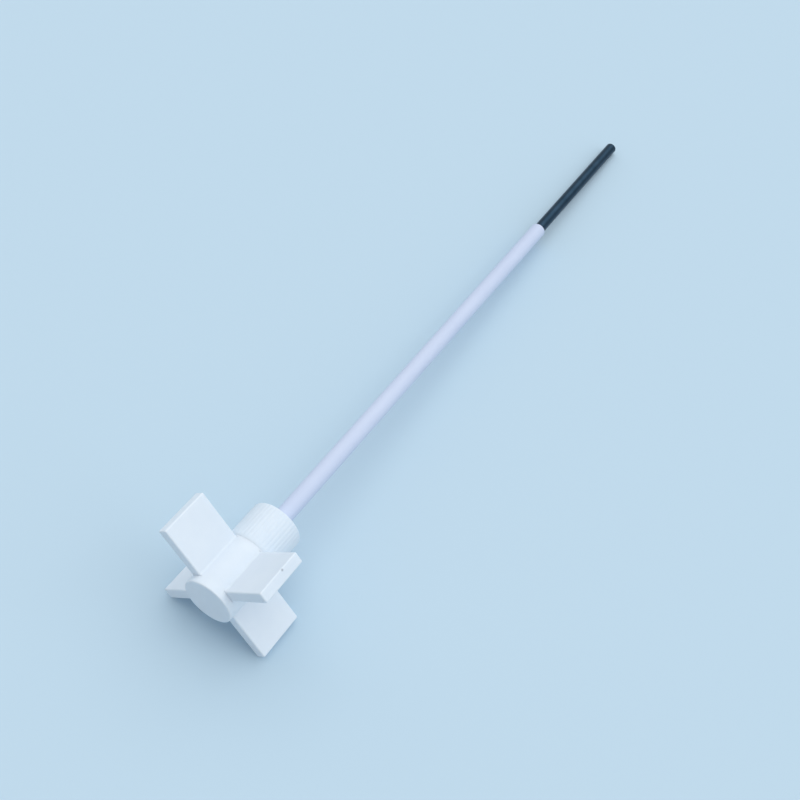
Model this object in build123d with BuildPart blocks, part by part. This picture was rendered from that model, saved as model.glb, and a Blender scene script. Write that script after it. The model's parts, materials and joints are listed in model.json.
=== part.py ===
from math import atan2, cos, degrees, hypot, pi, remainder, sin
import os

from build123d import *

# Laboratory stirrer shaft: a steel rod in a white plastic sleeve, with a four-bladed
# impeller clamped on its end by a knurled lock nut. It lies as it comes to rest, on two
# neighbouring blades and on the rod's bare end, so its axis slopes gently to that end.
# Lengths along the shaft are taken from the hub's front face. All sizes are millimetres.

# Shaft
sleeve_radius = 4.0
rod_radius = 3.0  # bare end
covered_rod_radius = 2.8  # under the sleeve, whose end stops on the rod's shoulder
shaft_length = 360.0  # closed end of the sleeve to the rod's tip
bare_end_length = 93.0  # steel left bare for the motor's chuck
sleeve_end_wall = 2.0  # closes the sleeve over the rod's lower end
sleeve_rim_round = 0.8
rod_tip_chamfer = 0.6

# Impeller
hub_radius = 11.6
hub_shoulder = 0.6  # plain hub behind the blades, which faces the nut
hub_front_wall = 16.0  # solid nose in front of the shaft's blind bore
hub_rim_chamfer = 0.5
blade_count = 4
blade_tip_radius = 35.0
blade_thickness = 5.2
blade_width = 23.0  # along the shaft
blade_setback = 3.4  # hub's front face to the blades
blade_edge_chamfer = 0.4
blade_root_fillet = 1.2

# Split spigot that the nut squeezes on the sleeve
spigot_radius = 8.0
spigot_length = 9.0  # straight part, which carries the thread
nose_length = 3.5  # tapered part that the nut's cone presses on
nose_wall = 1.6  # left round the sleeve at the nose's thin end
slit_count = 4
slit_width = 1.0
slit_depth = 10.0

# Knurled lock nut
nut_radius = 12.1
nut_length = 19.25
nut_front_chamfer = 0.5  # brings the nut down flush with the hub
nut_rear_chamfer = 0.8
nut_clearance = 0.1  # round the sleeve and the spigot
seam_gap = 0.1  # left between the nut and the hub's shoulder
knurl_count = 40
knurl_depth = 0.1
knurl_share = 0.6  # part of the knurl's pitch that each groove takes at its mouth

# Places along the shaft
sleeve_start = hub_front_wall
rod_start = sleeve_start + sleeve_end_wall
rod_tip = sleeve_start + shaft_length
sleeve_end = rod_tip - bare_end_length
blade_rear = blade_setback + blade_width
hub_length = blade_rear + hub_shoulder
spigot_end = hub_length + spigot_length
nose_end = spigot_end + nose_length
nut_start = hub_length + seam_gap
nut_end = nut_start + nut_length
nose_radius = sleeve_radius + nose_wall
groove_width = knurl_share * 2 * pi * nut_radius / knurl_count

# Rest: the lower rear corners of two neighbouring blades and the rim of the rod's tip
# lie on the floor, which fixes the slope of the axis and its height.
half_blade_angle = pi / blade_count
blade_drop = max(
    (blade_tip_radius - blade_edge_chamfer) * cos(half_blade_angle)
    + blade_thickness / 2 * sin(half_blade_angle),
    blade_tip_radius * cos(half_blade_angle)
    + (blade_thickness / 2 - blade_edge_chamfer) * sin(half_blade_angle),
)
tip_reach = rod_tip - rod_tip_chamfer
corner_reach = blade_rear - blade_edge_chamfer
slope = atan2(blade_drop - rod_radius, tip_reach - corner_reach)
face_height = tip_reach * sin(slope) + rod_radius * cos(slope)

# The origin is on the floor, midway between the hub's lower front edge and the rod's tip.
front_reach = -(hub_radius - hub_rim_chamfer) * sin(slope)
back_reach = rod_tip * cos(slope) + (rod_radius - rod_tip_chamfer) * sin(slope)
face_x = -(front_reach + back_reach) / 2

shaft_plane = Plane(
    origin=(face_x, 0, face_height),
    x_dir=(sin(slope), 0, cos(slope)),
    z_dir=(cos(slope), 0, -sin(slope)),
)
shaft_axis = Axis(shaft_plane.origin, shaft_plane.z_dir)
section_plane = Plane(  # across runs out from the axis, up runs along it
    origin=shaft_plane.origin, x_dir=shaft_plane.x_dir, z_dir=-shaft_plane.y_dir
)
first_blade_angle = degrees(half_blade_angle)

tolerance = 0.01


def radius_of(edge):
    """Distance of an edge's middle from the shaft's axis."""
    middle = shaft_plane.to_local_coords(edge @ 0.5)
    return hypot(middle.X, middle.Y)


def is_blade_root(edge):
    """True for the lines where a blade's flank meets the hub."""
    middle = shaft_plane.to_local_coords(edge @ 0.5)
    turn = atan2(middle.Y, middle.X) - half_blade_angle
    from_blade = hub_radius * abs(sin(remainder(turn, 2 * half_blade_angle)))
    on_hub = abs(radius_of(edge) - hub_radius) < tolerance
    return on_hub and abs(from_blade - blade_thickness / 2) < tolerance


os.makedirs("parts", exist_ok=True)

# Steel rod, bare at its upper end and a little thinner under the sleeve
with BuildPart() as core_rod:
    with BuildSketch(shaft_plane.offset(rod_start)):
        Circle(covered_rod_radius)
    extrude(amount=sleeve_end - rod_start)
    with BuildSketch(shaft_plane.offset(sleeve_end)):
        Circle(rod_radius)
    extrude(amount=bare_end_length)
    chamfer(core_rod.edges().sort_by(shaft_axis)[-1], rod_tip_chamfer)

core_rod.part.label = "core_rod"
export_step(core_rod.part, "parts/core_rod.step")

# White sleeve, closed over the rod's lower end
with BuildPart() as shaft_sleeve:
    with BuildSketch(shaft_plane.offset(sleeve_start)):
        Circle(sleeve_radius)
    extrude(amount=sleeve_end - sleeve_start)
    fillet(shaft_sleeve.edges().sort_by(shaft_axis)[-1], sleeve_rim_round)
    with BuildSketch(shaft_plane.offset(rod_start)):
        Circle(covered_rod_radius)
    extrude(amount=sleeve_end - rod_start, mode=Mode.SUBTRACT)

shaft_sleeve.part.label = "shaft_sleeve"
export_step(shaft_sleeve.part, "parts/shaft_sleeve.step")

# Impeller: straight blades on a hub with a blind bore and a split, tapered spigot
with BuildPart() as impeller:
    with BuildSketch(shaft_plane.offset(blade_setback)):
        blade_start = hub_radius / 2
        blade_length = blade_tip_radius - blade_start
        blade_middle = blade_start + blade_length / 2
        with PolarLocations(blade_middle, blade_count, start_angle=first_blade_angle):
            Rectangle(blade_length, blade_thickness)
    extrude(amount=blade_width)
    chamfer(impeller.edges(), blade_edge_chamfer)

    with BuildSketch(shaft_plane):
        Circle(hub_radius)
    extrude(amount=hub_length)
    fillet(impeller.edges().filter_by(is_blade_root), blade_root_fillet)
    chamfer(impeller.edges().sort_by(shaft_axis)[0], hub_rim_chamfer)

    with BuildSketch(shaft_plane.offset(hub_length)):
        Circle(spigot_radius)
    extrude(amount=spigot_length)
    with BuildSketch(shaft_plane.offset(spigot_end)):
        Circle(spigot_radius)
    with BuildSketch(shaft_plane.offset(nose_end)):
        Circle(nose_radius)
    loft()

    with BuildSketch(shaft_plane.offset(sleeve_start)):
        Circle(sleeve_radius)
    extrude(amount=nose_end - sleeve_start, mode=Mode.SUBTRACT)

    with BuildSketch(shaft_plane.offset(nose_end)):
        with PolarLocations((sleeve_radius + spigot_radius) / 2, slit_count):
            Rectangle(spigot_radius - sleeve_radius + slit_width, slit_width)
    extrude(amount=-slit_depth, mode=Mode.SUBTRACT)

impeller.part.label = "impeller"
export_step(impeller.part, "parts/impeller.step")

# Lock nut: straight knurl outside, thread bore and closing cone inside
with BuildPart() as lock_nut:
    with BuildSketch(shaft_plane.offset(nut_start)):
        Circle(nut_radius)
        with PolarLocations(nut_radius, knurl_count):
            with BuildLine():
                Polyline(
                    (knurl_depth, groove_width),
                    (-knurl_depth, 0),
                    (knurl_depth, -groove_width),
                    close=True,
                )
            make_face(mode=Mode.SUBTRACT)
    extrude(amount=nut_end - nut_start)

    with BuildSketch(section_plane):
        with BuildLine():
            Polyline(
                (0, nut_start),
                (nut_radius - nut_front_chamfer, nut_start),
                (nut_radius, nut_start + nut_front_chamfer),
                (nut_radius, nut_end - nut_rear_chamfer),
                (nut_radius - nut_rear_chamfer, nut_end),
                (0, nut_end),
                close=True,
            )
        make_face()
    revolve(axis=shaft_axis, mode=Mode.INTERSECT)

    with BuildSketch(section_plane):
        with BuildLine():
            Polyline(
                (0, nut_start),
                (spigot_radius + nut_clearance, nut_start),
                (spigot_radius + nut_clearance, spigot_end),
                (nose_radius + nut_clearance, nose_end),
                (nose_radius + nut_clearance, nose_end + nut_clearance),
                (sleeve_radius + nut_clearance, nose_end + nut_clearance),
                (sleeve_radius + nut_clearance, nut_end),
                (0, nut_end),
                close=True,
            )
        make_face()
    revolve(axis=shaft_axis, mode=Mode.SUBTRACT)

lock_nut.part.label = "lock_nut"
export_step(lock_nut.part, "parts/lock_nut.step")
print("slope in degrees", round(degrees(slope), 3))
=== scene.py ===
import bpy
import json
from math import atan2, cos, pi, radians, sin
from mathutils import Matrix, Vector


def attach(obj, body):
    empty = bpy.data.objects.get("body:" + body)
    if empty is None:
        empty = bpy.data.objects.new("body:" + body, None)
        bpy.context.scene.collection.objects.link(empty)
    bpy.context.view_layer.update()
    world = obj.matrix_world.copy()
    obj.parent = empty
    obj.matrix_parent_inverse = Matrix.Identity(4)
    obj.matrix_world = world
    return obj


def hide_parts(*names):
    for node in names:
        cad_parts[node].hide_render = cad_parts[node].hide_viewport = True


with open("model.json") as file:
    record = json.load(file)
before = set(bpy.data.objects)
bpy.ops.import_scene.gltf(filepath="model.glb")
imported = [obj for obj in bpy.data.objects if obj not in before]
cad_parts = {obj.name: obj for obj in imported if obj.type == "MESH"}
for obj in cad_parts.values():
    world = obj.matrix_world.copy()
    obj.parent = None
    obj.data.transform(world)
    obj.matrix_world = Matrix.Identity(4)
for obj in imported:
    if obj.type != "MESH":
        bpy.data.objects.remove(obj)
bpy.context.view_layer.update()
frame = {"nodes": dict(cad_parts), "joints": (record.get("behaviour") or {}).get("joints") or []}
nodes = frame["nodes"]
print("frame loaded, nodes:", sorted(nodes))


# where the shaft runs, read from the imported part
nutJoint = frame["joints"][0]
shaftAxis = Vector(nutJoint["axis"]).normalized()
pointOnAxis = Vector(nutJoint["pos_m"])


def spanAlong(name):
    reaches = [(v.co - pointOnAxis).dot(shaftAxis) for v in nodes[name].data.vertices]
    return min(reaches), max(reaches)


faceCentre = pointOnAxis + shaftAxis * spanAlong("impeller")[0]  # middle of the hub's front face
sideways = Vector((0, -1, 0))
outwards = sideways.cross(shaftAxis)  # square to the shaft, in its upright plane
shaftFrame = Matrix((
    (outwards.x, sideways.x, shaftAxis.x, faceCentre.x),
    (outwards.y, sideways.y, shaftAxis.y, faceCentre.y),
    (outwards.z, sideways.z, shaftAxis.z, faceCentre.z),
    (0, 0, 0, 1),
))
shaftTurn = shaftFrame.to_euler()


# small helpers
hair = 1e-6  # places closer than this count as the same
smoothAngle = radians(35)


def near(a, b):
    return abs(a - b) < hair


def deselectAll():
    if bpy.context.object and bpy.context.object.mode != "OBJECT":
        bpy.ops.object.mode_set(mode="OBJECT")
    bpy.ops.object.select_all(action="DESELECT")


def activate(piece):
    deselectAll()
    piece.select_set(True)
    bpy.context.view_layer.objects.active = piece


def openSelection(piece, kind):
    # empties the selection, and leaves object mode on so that code can set it by place
    activate(piece)
    bpy.ops.object.mode_set(mode="EDIT")
    bpy.ops.mesh.select_mode(type=kind)
    bpy.ops.mesh.select_all(action="DESELECT")
    bpy.ops.object.mode_set(mode="OBJECT")


def selectVertices(piece, wanted):
    openSelection(piece, "VERT")
    for vertex in piece.data.vertices:
        vertex.select = wanted(vertex.co)
    bpy.ops.object.mode_set(mode="EDIT")


def selectEdges(piece, wanted):
    openSelection(piece, "EDGE")
    vertices = piece.data.vertices
    for edge in piece.data.edges:
        edge.select = wanted(*[vertices[i].co for i in edge.vertices])
    bpy.ops.object.mode_set(mode="EDIT")


def selectFaces(piece, wanted):
    openSelection(piece, "FACE")
    for face in piece.data.polygons:
        face.select = wanted(face)
    bpy.ops.object.mode_set(mode="EDIT")


def growOut(distance):
    # extrudes what is selected away from the shaft, on its +X side
    bpy.ops.mesh.extrude_region_move(TRANSFORM_OT_translate={"value": (distance, 0, 0)})


def growUp(distance):
    # extrudes what is selected along the shaft
    bpy.ops.mesh.extrude_region_move(TRANSFORM_OT_translate={"value": (0, 0, distance)})


def narrowTo(share):
    bpy.ops.transform.resize(value=(share, share, 1))


def turnAll(piece, angle):
    activate(piece)
    bpy.ops.object.mode_set(mode="EDIT")
    bpy.ops.mesh.select_all(action="SELECT")
    bpy.ops.transform.rotate(value=angle, orient_axis="Z", center_override=(0, 0, 0))
    bpy.ops.object.mode_set(mode="OBJECT")


def addCylinder(name, sides, radius, start, end):
    deselectAll()
    bpy.ops.mesh.primitive_cylinder_add(
        vertices=sides, radius=radius, depth=end - start, location=(0, 0, (start + end) / 2)
    )
    piece = bpy.context.object
    piece.name = name
    bpy.ops.object.transform_apply(location=True)
    return piece


def combine(piece, tool, operation):
    activate(piece)
    cut = piece.modifiers.new("combine", "BOOLEAN")
    cut.object = tool
    cut.operation = operation
    cut.solver = "EXACT"
    bpy.ops.object.modifier_apply(modifier=cut.name)
    bpy.data.objects.remove(tool)


def finishPiece(piece, body, node):
    # modelled upright at the origin, then laid on the shaft with its place in its mesh
    activate(piece)
    bpy.ops.object.shade_smooth_by_angle(angle=smoothAngle)
    flatFaces = piece.modifiers.new("flatFaces", "WEIGHTED_NORMAL")
    flatFaces.keep_sharp = True
    bpy.ops.object.modifier_apply(modifier=flatFaces.name)
    piece.matrix_world = shaftFrame
    bpy.ops.object.transform_apply(location=True, rotation=True, scale=True)
    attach(piece, body)
    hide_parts(node)
    print(piece.name, "made,", len(piece.data.polygons), "faces")


# impeller: hub, straight blades grown out of it, and the split spigot
impellerLook = {
    "hubRadius": 0.0116,
    "hubLength": 0.0270,
    "hubSides": 144,
    "rimRound": 0.0006,
    "setback": 0.0034,
    "width": 0.0230,
    "tipRadius": 0.0350,
    "thickness": 0.0052,
    "rootHalfTurn": 17.5,  # degrees from the blade's middle to where its fillet leaves the hub
    "rootSteps": 6,
    "flatAngle": 0.5,  # degrees, within which neighbouring faces are joined
    "edgeRound": 0.00068,
    "roundSteps": 4,
    "blades": 4,
    "spigotRadius": 0.0080,
    "spigotLength": 0.0090,
    "noseRadius": 0.0056,
    "noseLength": 0.0035,
    "boreRadius": 0.0040,
    "boreStart": 0.0160,
    "slitReach": 0.0176,  # right across the spigot
    "slitWidth": 0.0010,
    "slitDepth": 0.0100,
}


def noseEnd(look):
    return look["hubLength"] + look["spigotLength"] + look["noseLength"]


def makeHub(look):
    hub = addCylinder("paddleImpeller", look["hubSides"], look["hubRadius"], 0, look["setback"])
    # one ring for the blades' length and one for the shoulder behind them
    selectFaces(hub, lambda face: face.normal.z > 0.9)
    growUp(look["width"])
    growUp(look["hubLength"] - look["setback"] - look["width"])
    # the spigot grows out of the rear face, and the bore goes back in through its nose
    bpy.ops.mesh.inset(thickness=look["hubRadius"] - look["spigotRadius"])
    growUp(look["spigotLength"])
    growUp(look["noseLength"])
    narrowTo(look["noseRadius"] / look["spigotRadius"])
    bpy.ops.mesh.inset(thickness=look["noseRadius"] - look["boreRadius"])
    growUp(look["boreStart"] - noseEnd(look))
    selectEdges(hub, lambda a, b: near(a.z, 0) and near(b.z, 0))
    bpy.ops.mesh.bevel(offset=look["rimRound"], segments=look["roundSteps"], affect="EDGES")
    bpy.ops.object.mode_set(mode="OBJECT")
    return hub


def growBlade(hub, look):
    # the hub's faces on its +X side follow the root's fillet outwards, then run to the tip
    start = radians(look["rootHalfTurn"])
    half = look["thickness"] / 2
    fillet = (look["hubRadius"] * sin(start) - half) / (1 - sin(start))
    centre = (look["hubRadius"] + fillet) * cos(start), half + fillet
    reach, wide = look["hubRadius"] * cos(start), look["hubRadius"] * sin(start)
    rear = look["setback"] + look["width"]

    def onBand(face):
        onSide = abs(face.normal.z) < 0.1 and reach < face.center.x < look["hubRadius"]
        return onSide and look["setback"] < face.center.z < rear

    selectFaces(hub, onBand)
    for step in range(1, look["rootSteps"] + 1):
        turn = start + (pi / 2 - start) * step / look["rootSteps"]
        nextReach = centre[0] - fillet * cos(turn)
        nextWide = centre[1] - fillet * sin(turn)
        growOut(nextReach - reach)
        bpy.ops.transform.resize(value=(1, nextWide / wide, 1))
        reach, wide = nextReach, nextWide
    tip = look["tipRadius"]
    growOut(tip - reach)
    bpy.ops.transform.resize(value=(0, 1, 1), center_override=(tip, 0, 0))  # flattens the tip
    bpy.ops.object.mode_set(mode="OBJECT")


def roundBlades(impeller, look):
    activate(impeller)
    bpy.ops.object.mode_set(mode="EDIT")
    bpy.ops.mesh.select_all(action="SELECT")
    bpy.ops.mesh.dissolve_limited(angle_limit=radians(look["flatAngle"]))
    bpy.ops.object.mode_set(mode="OBJECT")
    ends = look["setback"], look["setback"] + look["width"]
    beyondHub = look["hubRadius"] + 10 * hair

    def isRim(a, b):
        onEnd = any(near(a.z, end) and near(b.z, end) for end in ends)
        onBlade = max(a.xy.length, b.xy.length) > beyondHub
        atTip = all(max(abs(v.x), abs(v.y)) > look["tipRadius"] - hair for v in (a, b))
        return onEnd and onBlade or atTip

    selectEdges(impeller, isRim)
    bpy.ops.mesh.bevel(offset=look["edgeRound"], segments=look["roundSteps"], affect="EDGES")
    bpy.ops.object.mode_set(mode="OBJECT")


def cutSlit(impeller, look, turn):
    deselectAll()
    bpy.ops.mesh.primitive_cube_add(size=1, location=(0, 0, noseEnd(look)))
    slit = bpy.context.object
    slit.scale = (look["slitReach"], look["slitWidth"], 2 * look["slitDepth"])
    bpy.ops.object.transform_apply(location=True, rotation=True, scale=True)
    turnAll(slit, turn)
    combine(impeller, slit, "DIFFERENCE")


def makeImpeller(look):
    impeller = makeHub(look)
    for number in range(look["blades"]):
        growBlade(impeller, look)
        turnAll(impeller, 2 * pi / look["blades"])
    roundBlades(impeller, look)
    # each cut runs right across, so two of them make four slits
    for number in range(2):
        cutSlit(impeller, look, number * pi / 2 + pi / 4)
    turnAll(impeller, pi / look["blades"])
    finishPiece(impeller, "shaft", "impeller")
    return impeller


impeller = makeImpeller(impellerLook)


# lock nut: a straight knurl round a turned blank, with the thread's bore and a closing cone
nutLook = {
    "radius": 0.0121,
    "blankSides": 360,
    "leadIn": 0.0015,  # length that tapers down to the hub's own radius
    "seamGap": 0.00002,
    "rearRound": 0.0010,
    "roundSteps": 5,
    "grooves": 40,
    "grooveDepth": 0.00014,
    "grooveShare": 0.6,  # of the pitch, at the groove's mouth
    "stepsPerGroove": 10,
    "bottomSoftening": 0.000015,
    "grooveStart": 2.5,  # degrees round from the blades' upright plane
    "overshoot": 0.001,  # by which the bars that are combined run past the nut's ends
    "boreSides": 96,
    "threadRadius": 0.0081,
    "threadEnd": 0.0360,  # from the hub's face, as the rest of the bore
    "coneRadius": 0.0057,
    "coneEnd": 0.0395,
    "sleeveRadius": 0.0041,
}


def makeKnurl(look, start, end):
    # a fluted bar, longer than the nut and proud of it between the grooves
    steps = look["stepsPerGroove"]
    sides = steps * look["grooves"]
    past = look["overshoot"]
    knurl = addCylinder("knurledNut", sides, look["radius"], start - past, end + past)
    pitch = 2 * pi / look["grooves"]

    def stepsFromGroove(place):
        turn = atan2(place.y, place.x) % pitch
        return round(min(turn, pitch - turn) / pitch * steps)

    for level in range(steps // 2 + 1):
        depth = look["grooveDepth"] * (1 - level / steps * 2 / look["grooveShare"])
        if level == 0:
            depth -= look["bottomSoftening"]
        selectVertices(knurl, lambda place: stepsFromGroove(place) == level)
        grow = 1 - depth / look["radius"]
        bpy.ops.transform.resize(value=(grow, grow, 1), center_override=(0, 0, 0))
    turnAll(knurl, radians(look["grooveStart"]))
    return knurl


def makeBlank(look, start, end):
    full = start + look["leadIn"]
    blank = addCylinder("turnedBlank", look["blankSides"], look["radius"], full, end)
    selectFaces(blank, lambda face: face.normal.z < -0.9)
    growUp(-look["leadIn"])
    narrowTo(impellerLook["hubRadius"] / look["radius"])
    selectEdges(blank, lambda a, b: near(a.z, end) and near(b.z, end))
    bpy.ops.mesh.bevel(offset=look["rearRound"], segments=look["roundSteps"], affect="EDGES")
    bpy.ops.object.mode_set(mode="OBJECT")
    return blank


def makeBore(look, start, end):
    past = look["overshoot"]
    sides, radius = look["boreSides"], look["threadRadius"]
    bore = addCylinder("nutBore", sides, radius, start - past, look["threadEnd"])
    selectFaces(bore, lambda face: face.normal.z > 0.9)
    growUp(look["coneEnd"] - look["threadEnd"])
    narrowTo(look["coneRadius"] / look["threadRadius"])
    bpy.ops.mesh.inset(thickness=look["coneRadius"] - look["sleeveRadius"])
    growUp(end + past - look["coneEnd"])
    bpy.ops.object.mode_set(mode="OBJECT")
    return bore


def makeNut(look):
    start = impellerLook["hubLength"] + look["seamGap"]
    end = spanAlong("lock_nut")[1] - spanAlong("impeller")[0]
    nut = makeKnurl(look, start, end)
    combine(nut, makeBlank(look, start, end), "INTERSECT")
    combine(nut, makeBore(look, start, end), "DIFFERENCE")
    finishPiece(nut, "nut", "lock_nut")
    return nut


lockNut = makeNut(nutLook)


# materials
def newMaterial(name):
    material = bpy.data.materials.new(name)
    material.use_nodes = True
    tree = material.node_tree
    shader = tree.nodes["Principled BSDF"]
    return material, tree, shader


def addNode(tree, kind, **settings):
    node = tree.nodes.new(kind)
    for key, value in settings.items():
        setattr(node, key, value)
    return node


def shaftCoordinates(tree):
    # Object coordinates turned so that Z runs along the shaft from the hub's face
    coordinates = addNode(tree, "ShaderNodeTexCoord")
    mapping = addNode(tree, "ShaderNodeMapping", vector_type="TEXTURE")
    mapping.inputs["Location"].default_value = faceCentre
    mapping.inputs["Rotation"].default_value = shaftTurn
    tree.links.new(coordinates.outputs["Object"], mapping.inputs["Vector"])
    return mapping.outputs["Vector"]


def stretched(tree, vector, scale):
    stretch = addNode(tree, "ShaderNodeVectorMath", operation="MULTIPLY")
    stretch.inputs[1].default_value = scale
    tree.links.new(vector, stretch.inputs[0])
    return stretch.outputs["Vector"]


def noise(tree, vector, kind):
    texture = addNode(tree, "ShaderNodeTexNoise")
    for name, value in zip(("Scale", "Detail", "Roughness"), kind):
        texture.inputs[name].default_value = value
    tree.links.new(vector, texture.inputs["Vector"])
    return texture.outputs["Fac"]


def twoTones(tree, value, ends, tones):
    band = addNode(tree, "ShaderNodeValToRGB")
    for element, place, tone in zip(band.color_ramp.elements, ends, tones):
        element.position = place
        element.color = (*tone, 1)
    tree.links.new(value, band.inputs["Fac"])
    return band.outputs["Color"]


def bump(tree, height, kind):
    node = addNode(tree, "ShaderNodeBump")
    node.inputs["Strength"].default_value, node.inputs["Distance"].default_value = kind
    tree.links.new(height, node.inputs["Height"])
    return node.outputs["Normal"]


# noises are given by scale, detail and roughness, and bumps by strength and height
ptfeFinish = {
    "clouds": (55, 4, 0.6),
    "cloudEnds": (0.35, 0.65),
    "grain": (900, 3, 0.6),
    "grainBump": (0.2, 0.00003),
    "roughness": 0.45,
    "ior": 1.36,
    "waxiness": 0.25,
    "waxDepth": 0.0015,
}

machinedPtfe = {
    **ptfeFinish,
    # both tones are the white plastic's own colour with a painted blue cast, standing in for light
    # from a blue surround
    "lit": (0.75, 0.83, 0.915),
    "cloudy": (0.72, 0.805, 0.895),
    "speckEdge": (0.00015, 0.00075),  # dark within the first radius, clean past the second
    "speckColour": (0.38, 0.42, 0.49),
    "speckAt": (0.02611, 0.02339, 0.01696),  # out, sideways and along, from the hub's face
}

nutPtfe = {
    **ptfeFinish,
    # a little darker than the impeller's tones, with the same painted blue cast standing in for
    # light from a blue surround
    "lit": (0.71, 0.80, 0.89),
    "cloudy": (0.68, 0.775, 0.87),
}


def addSpeck(tree, place, colour, look):
    # one small dark speck pressed into the plastic
    away = addNode(tree, "ShaderNodeVectorMath", operation="DISTANCE")
    away.inputs[1].default_value = look["speckAt"]
    tree.links.new(place, away.inputs[0])
    edge = addNode(tree, "ShaderNodeMapRange")
    edge.inputs["From Min"].default_value, edge.inputs["From Max"].default_value = look["speckEdge"]
    tree.links.new(away.outputs["Value"], edge.inputs["Value"])
    mix = addNode(tree, "ShaderNodeMix", data_type="RGBA")
    tree.links.new(edge.outputs["Result"], mix.inputs["Factor"])
    dark, light = [socket for socket in mix.inputs if socket.type == "RGBA"]
    dark.default_value = (*look["speckColour"], 1)
    tree.links.new(colour, light)
    return [socket for socket in mix.outputs if socket.type == "RGBA"][0]


def makeMachinedPtfe(name, look):
    material, tree, shader = newMaterial(name)
    place = shaftCoordinates(tree)
    clouds = noise(tree, place, look["clouds"])
    colour = twoTones(tree, clouds, look["cloudEnds"], (look["cloudy"], look["lit"]))
    if "speckAt" in look:
        colour = addSpeck(tree, place, colour, look)
    tree.links.new(colour, shader.inputs["Base Color"])
    shader.inputs["Roughness"].default_value = look["roughness"]
    shader.inputs["IOR"].default_value = look["ior"]
    shader.inputs["Subsurface Weight"].default_value = look["waxiness"]
    shader.inputs["Subsurface Scale"].default_value = look["waxDepth"]
    shader.inputs["Subsurface Radius"].default_value = (1, 1, 1)
    grain = noise(tree, place, look["grain"])
    tree.links.new(bump(tree, grain, look["grainBump"]), shader.inputs["Normal"])
    return material


sleevePtfe = {
    "lit": (0.60, 0.68, 0.85),
    "dull": (0.56, 0.64, 0.82),
    "patches": (90, 4, 0.6),
    "patchStretch": (1, 1, 0.3),
    "patchEnds": (0.35, 0.65),
    "drawnLines": (700, 2, 0.5),
    "lineStretch": (1, 1, 0.05),
    "lineBump": (0.3, 0.00003),
    "roughness": 0.5,
    "ior": 1.36,
}


def makeSleevePtfe(look):
    material, tree, shader = newMaterial("sleevePtfe")
    place = shaftCoordinates(tree)
    lines = noise(tree, stretched(tree, place, look["lineStretch"]), look["drawnLines"])
    patches = noise(tree, stretched(tree, place, look["patchStretch"]), look["patches"])
    colour = twoTones(tree, patches, look["patchEnds"], (look["dull"], look["lit"]))
    tree.links.new(colour, shader.inputs["Base Color"])
    shader.inputs["Roughness"].default_value = look["roughness"]
    shader.inputs["IOR"].default_value = look["ior"]
    tree.links.new(bump(tree, lines, look["lineBump"]), shader.inputs["Normal"])
    return material


rodSteel = {
    # both tones are painted reflection: a dark blue standing in for a blue surround mirrored in the
    # steel, mixed at random in patches
    "dark": (0.020, 0.048, 0.080),
    "light": (0.034, 0.068, 0.108),
    "patches": (120, 4, 0.6),
    "patchEnds": (0.35, 0.70),
    "drawnLines": (1500, 3, 0.6),
    "lineStretch": (1, 1, 0.02),
    "lineBump": (0.3, 0.00002),
    "roughness": (0.28, 0.42),
}


def makeRodSteel(look):
    material, tree, shader = newMaterial("rodSteel")
    place = shaftCoordinates(tree)
    lines = noise(tree, stretched(tree, place, look["lineStretch"]), look["drawnLines"])
    patches = noise(tree, place, look["patches"])
    colour = twoTones(tree, patches, look["patchEnds"], (look["dark"], look["light"]))
    tree.links.new(colour, shader.inputs["Base Color"])
    shader.inputs["Metallic"].default_value = 1
    gloss = addNode(tree, "ShaderNodeMapRange")
    gloss.inputs["To Min"].default_value, gloss.inputs["To Max"].default_value = look["roughness"]
    tree.links.new(lines, gloss.inputs["Value"])
    tree.links.new(gloss.outputs["Result"], shader.inputs["Roughness"])
    tree.links.new(bump(tree, lines, look["lineBump"]), shader.inputs["Normal"])
    return material


def dress(piece, material):
    piece.data.materials.clear()
    piece.data.materials.append(material)


dress(impeller, makeMachinedPtfe("machinedPtfe", machinedPtfe))
dress(lockNut, makeMachinedPtfe("nutPtfe", nutPtfe))
dress(nodes["shaft_sleeve"], makeSleevePtfe(sleevePtfe))
dress(nodes["core_rod"], makeRodSteel(rodSteel))
print("materials made")


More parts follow.
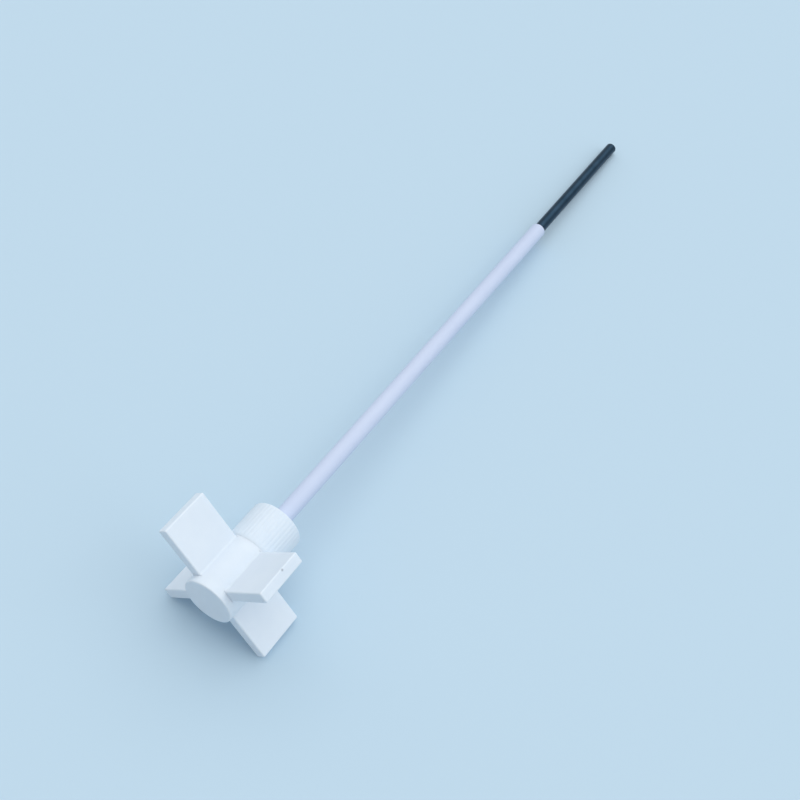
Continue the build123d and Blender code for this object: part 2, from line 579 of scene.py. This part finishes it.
# floor, light and camera
studio = {
    "floorSize": 16.0,
    "floorColour": (0.50, 0.66, 0.78),
    "floorRoughness": 0.8,
    "skyColour": (0.94, 0.97, 1.0),
    "skyStrength": 0.525,
    # where each soft lamp shines from, its spread in degrees and its strength
    "overheadLamp": ((0.45, -0.05, 1.10), 80, 1.50),
    "leftLamp": ((0.30, 1.05, 0.65), 50, 0.21),
    "rightLamp": ((0.30, -1.05, 0.65), 50, 0.41),
}


def makeFloor(look):
    deselectAll()
    bpy.ops.mesh.primitive_plane_add(size=look["floorSize"])
    floor = bpy.context.object
    floor.name = "paleFloor"
    material, tree, shader = newMaterial("paleFloor")
    shader.inputs["Base Color"].default_value = (*look["floorColour"], 1)
    shader.inputs["Roughness"].default_value = look["floorRoughness"]
    dress(floor, material)


def makeLamp(look, name):
    # a distant lamp, so that the floor is lit evenly as far as it reaches
    deselectAll()
    place, spread, strength = look[name]
    bpy.ops.object.light_add(type="SUN", location=place)
    lamp = bpy.context.object
    lamp.name = name
    lamp.data.angle = radians(spread)
    lamp.data.energy = strength
    lamp.rotation_euler = (-Vector(place)).to_track_quat("-Z", "Y").to_euler()


def makeSky(look):
    world = bpy.data.worlds.new("studioSky")
    bpy.context.scene.world = world
    world.use_nodes = True
    sky = world.node_tree.nodes["Background"]
    sky.inputs["Color"].default_value = (*look["skyColour"], 1)
    sky.inputs["Strength"].default_value = look["skyStrength"]


makeFloor(studio)
makeSky(studio)
for lampName in ("overheadLamp", "leftLamp", "rightLamp"):
    makeLamp(studio, lampName)

cameraSetup = {
    "place": (-0.32224, -0.14174, 0.43528),
    "turn": (35.754, -4.514, -56.842),  # degrees, from looking straight down
    "lens": 49.47,
    "nearest": 0.01,
}


def makeCamera(look):
    turn = [radians(angle) for angle in look["turn"]]
    bpy.ops.object.camera_add(location=look["place"], rotation=turn)
    camera = bpy.context.object
    camera.name = "photoCamera"
    camera.data.lens = look["lens"]
    camera.data.clip_start = look["nearest"]
    bpy.context.scene.camera = camera


makeCamera(cameraSetup)
bpy.context.scene.view_settings.view_transform = "Standard"
print("studio ready")
